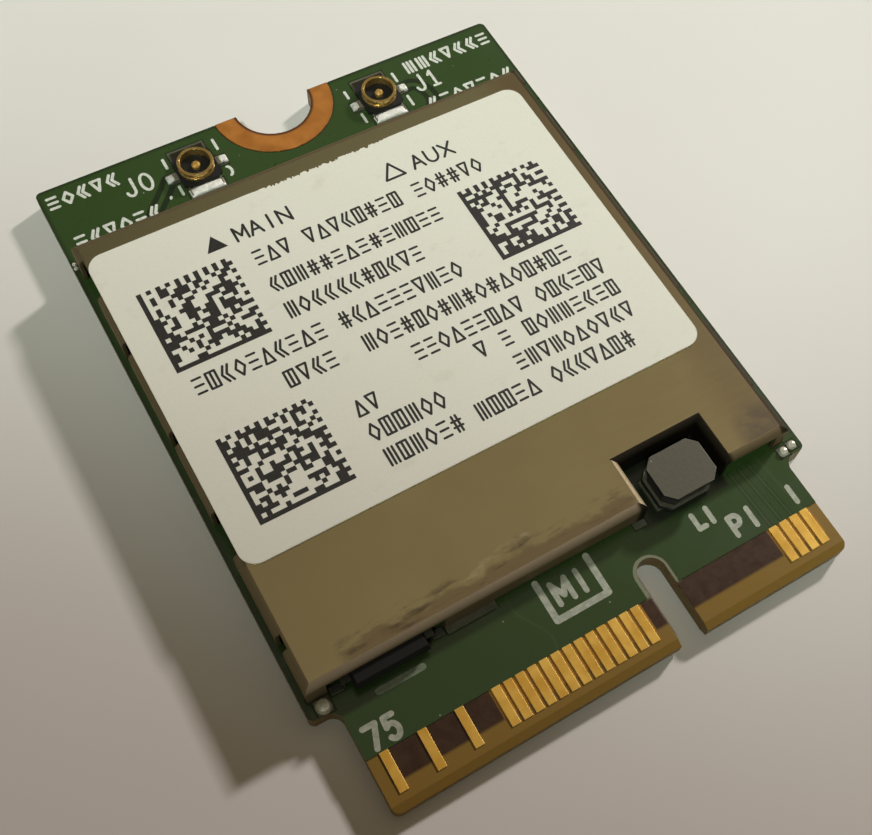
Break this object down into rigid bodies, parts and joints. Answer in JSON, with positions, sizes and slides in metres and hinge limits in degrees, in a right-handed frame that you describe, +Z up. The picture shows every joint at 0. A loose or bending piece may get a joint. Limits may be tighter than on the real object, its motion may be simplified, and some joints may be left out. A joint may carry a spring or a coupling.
{
  "type": "m.2 wireless network card",
  "caption": "Small plug-in wireless card: green circuit board with gold edge contacts, a folded metal shield with a label, two antenna sockets and a half-round screw notch.",
  "frame": {"origin": "middle of the card's underside, at the level of the lower contacts", "axes": "+Z up through the shield, +Y from the edge contacts to the screw notch, +X to the side of contact 1"},
  "size_m": [0.022, 0.03, 0.0022],
  "materials": {
    "laminate": "bare glass-epoxy board, yellow-brown",
    "solder_mask": "green solder mask, satin gloss",
    "copper": "bare copper with a clear preservative film",
    "gold": "gold plating over nickel",
    "tin": "bright tin and solder",
    "nickel_silver": "dull nickel-silver sheet with smudges",
    "label_paper": "white printed label",
    "socket_plastic": "black moulded insulator",
    "ferrite": "grey ferrite core",
    "coil_resin": "dark resin over the winding",
    "chip_mould": "black chip moulding compound",
    "white_ceramic": "pale ceramic",
    "tan_ceramic": "tan capacitor ceramic",
    "black_ceramic": "resistor with a black top"
  },
  "bodies": {
    "root": {"circuit_board": "laminate", "solder_mask_top": "solder_mask", "solder_mask_bottom": "solder_mask", "screw_pad_top": "copper", "screw_pad_bottom": "copper", "edge_contacts_top": "gold", "edge_contacts_bottom": "gold", "solder_lands": "tin", "main_socket_base": "socket_plastic", "main_socket_shell": "gold", "main_socket_pin": "gold", "aux_socket_base": "socket_plastic", "aux_socket_shell": "gold", "aux_socket_pin": "gold", "shield_can": "nickel_silver", "shield_solder": "tin", "label": "label_paper", "inductor_core": "ferrite", "inductor_coil": "coil_resin", "inductor_terminals": "tin", "memory_chip": "chip_mould", "memory_chip_leads": "tin", "radio_chip": "chip_mould", "front_end_main": "chip_mould", "front_end_aux": "chip_mould", "crystal_base": "white_ceramic", "crystal_lid": "nickel_silver", "capacitor_bodies": "tan_ceramic", "capacitor_terminals": "tin", "resistor_bodies": "black_ceramic", "resistor_terminals": "tin"}
  },
  "joints": []
}
